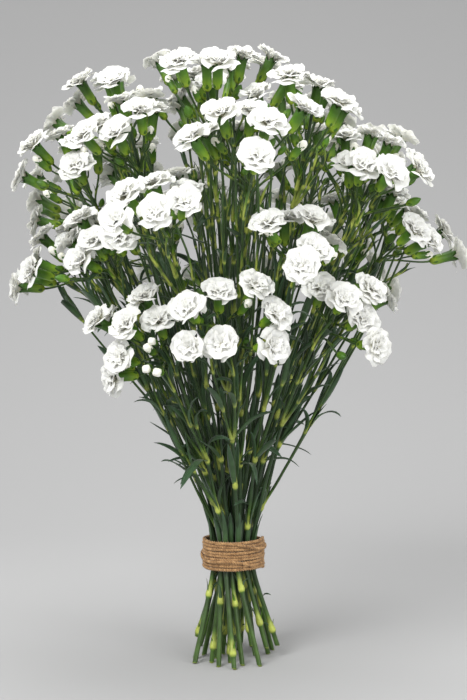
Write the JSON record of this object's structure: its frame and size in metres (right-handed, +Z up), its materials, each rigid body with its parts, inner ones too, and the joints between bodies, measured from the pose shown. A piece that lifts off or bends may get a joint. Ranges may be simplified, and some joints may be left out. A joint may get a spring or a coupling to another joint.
{
  "type": "bunch of carnations",
  "caption": "Hand-tied bunch of white spray carnations with buds and narrow leaves, its bundle of cut stems wound with jute twine, standing on its cut ends.",
  "frame": {"origin": "middle of the centre stem's cut end, on the surface that the bunch stands on", "axes": "+Z up along the bundle of stems, -Y towards the viewer, +X to the viewer's right"},
  "size_m": [0.4799, 0.446, 0.6342],
  "materials": {
    "petals": "soft white petals, matte, faintly translucent",
    "stems": "fresh green stems, calyxes, buds and leaves with a waxy bloom",
    "twine": "natural twisted jute, rough and slightly hairy"
  },
  "bodies": {
    "root": {"stem_01": "stems", "blooms_01": "petals", "stem_02": "stems", "blooms_02": "petals", "stem_03": "stems", "blooms_03": "petals", "stem_04": "stems", "blooms_04": "petals", "stem_05": "stems", "blooms_05": "petals", "stem_06": "stems", "blooms_06": "petals", "stem_07": "stems", "blooms_07": "petals", "stem_08": "stems", "blooms_08": "petals", "stem_09": "stems", "blooms_09": "petals", "stem_10": "stems", "blooms_10": "petals", "stem_11": "stems", "blooms_11": "petals", "stem_12": "stems", "blooms_12": "petals", "stem_13": "stems", "blooms_13": "petals", "stem_14": "stems", "blooms_14": "petals", "stem_15": "stems", "blooms_15": "petals", "stem_16": "stems", "blooms_16": "petals", "stem_17": "stems", "blooms_17": "petals", "stem_18": "stems", "blooms_18": "petals", "stem_19": "stems", "blooms_19": "petals", "stem_20": "stems", "blooms_20": "petals", "stem_21": "stems", "blooms_21": "petals", "stem_22": "stems", "blooms_22": "petals", "stem_23": "stems", "blooms_23": "petals", "stem_24": "stems", "blooms_24": "petals", "stem_25": "stems", "blooms_25": "petals", "stem_26": "stems", "blooms_26": "petals", "stem_27": "stems", "blooms_27": "petals", "stem_28": "stems", "blooms_28": "petals", "stem_29": "stems", "blooms_29": "petals", "twine_wrap": "twine"}
  },
  "joints": []
}
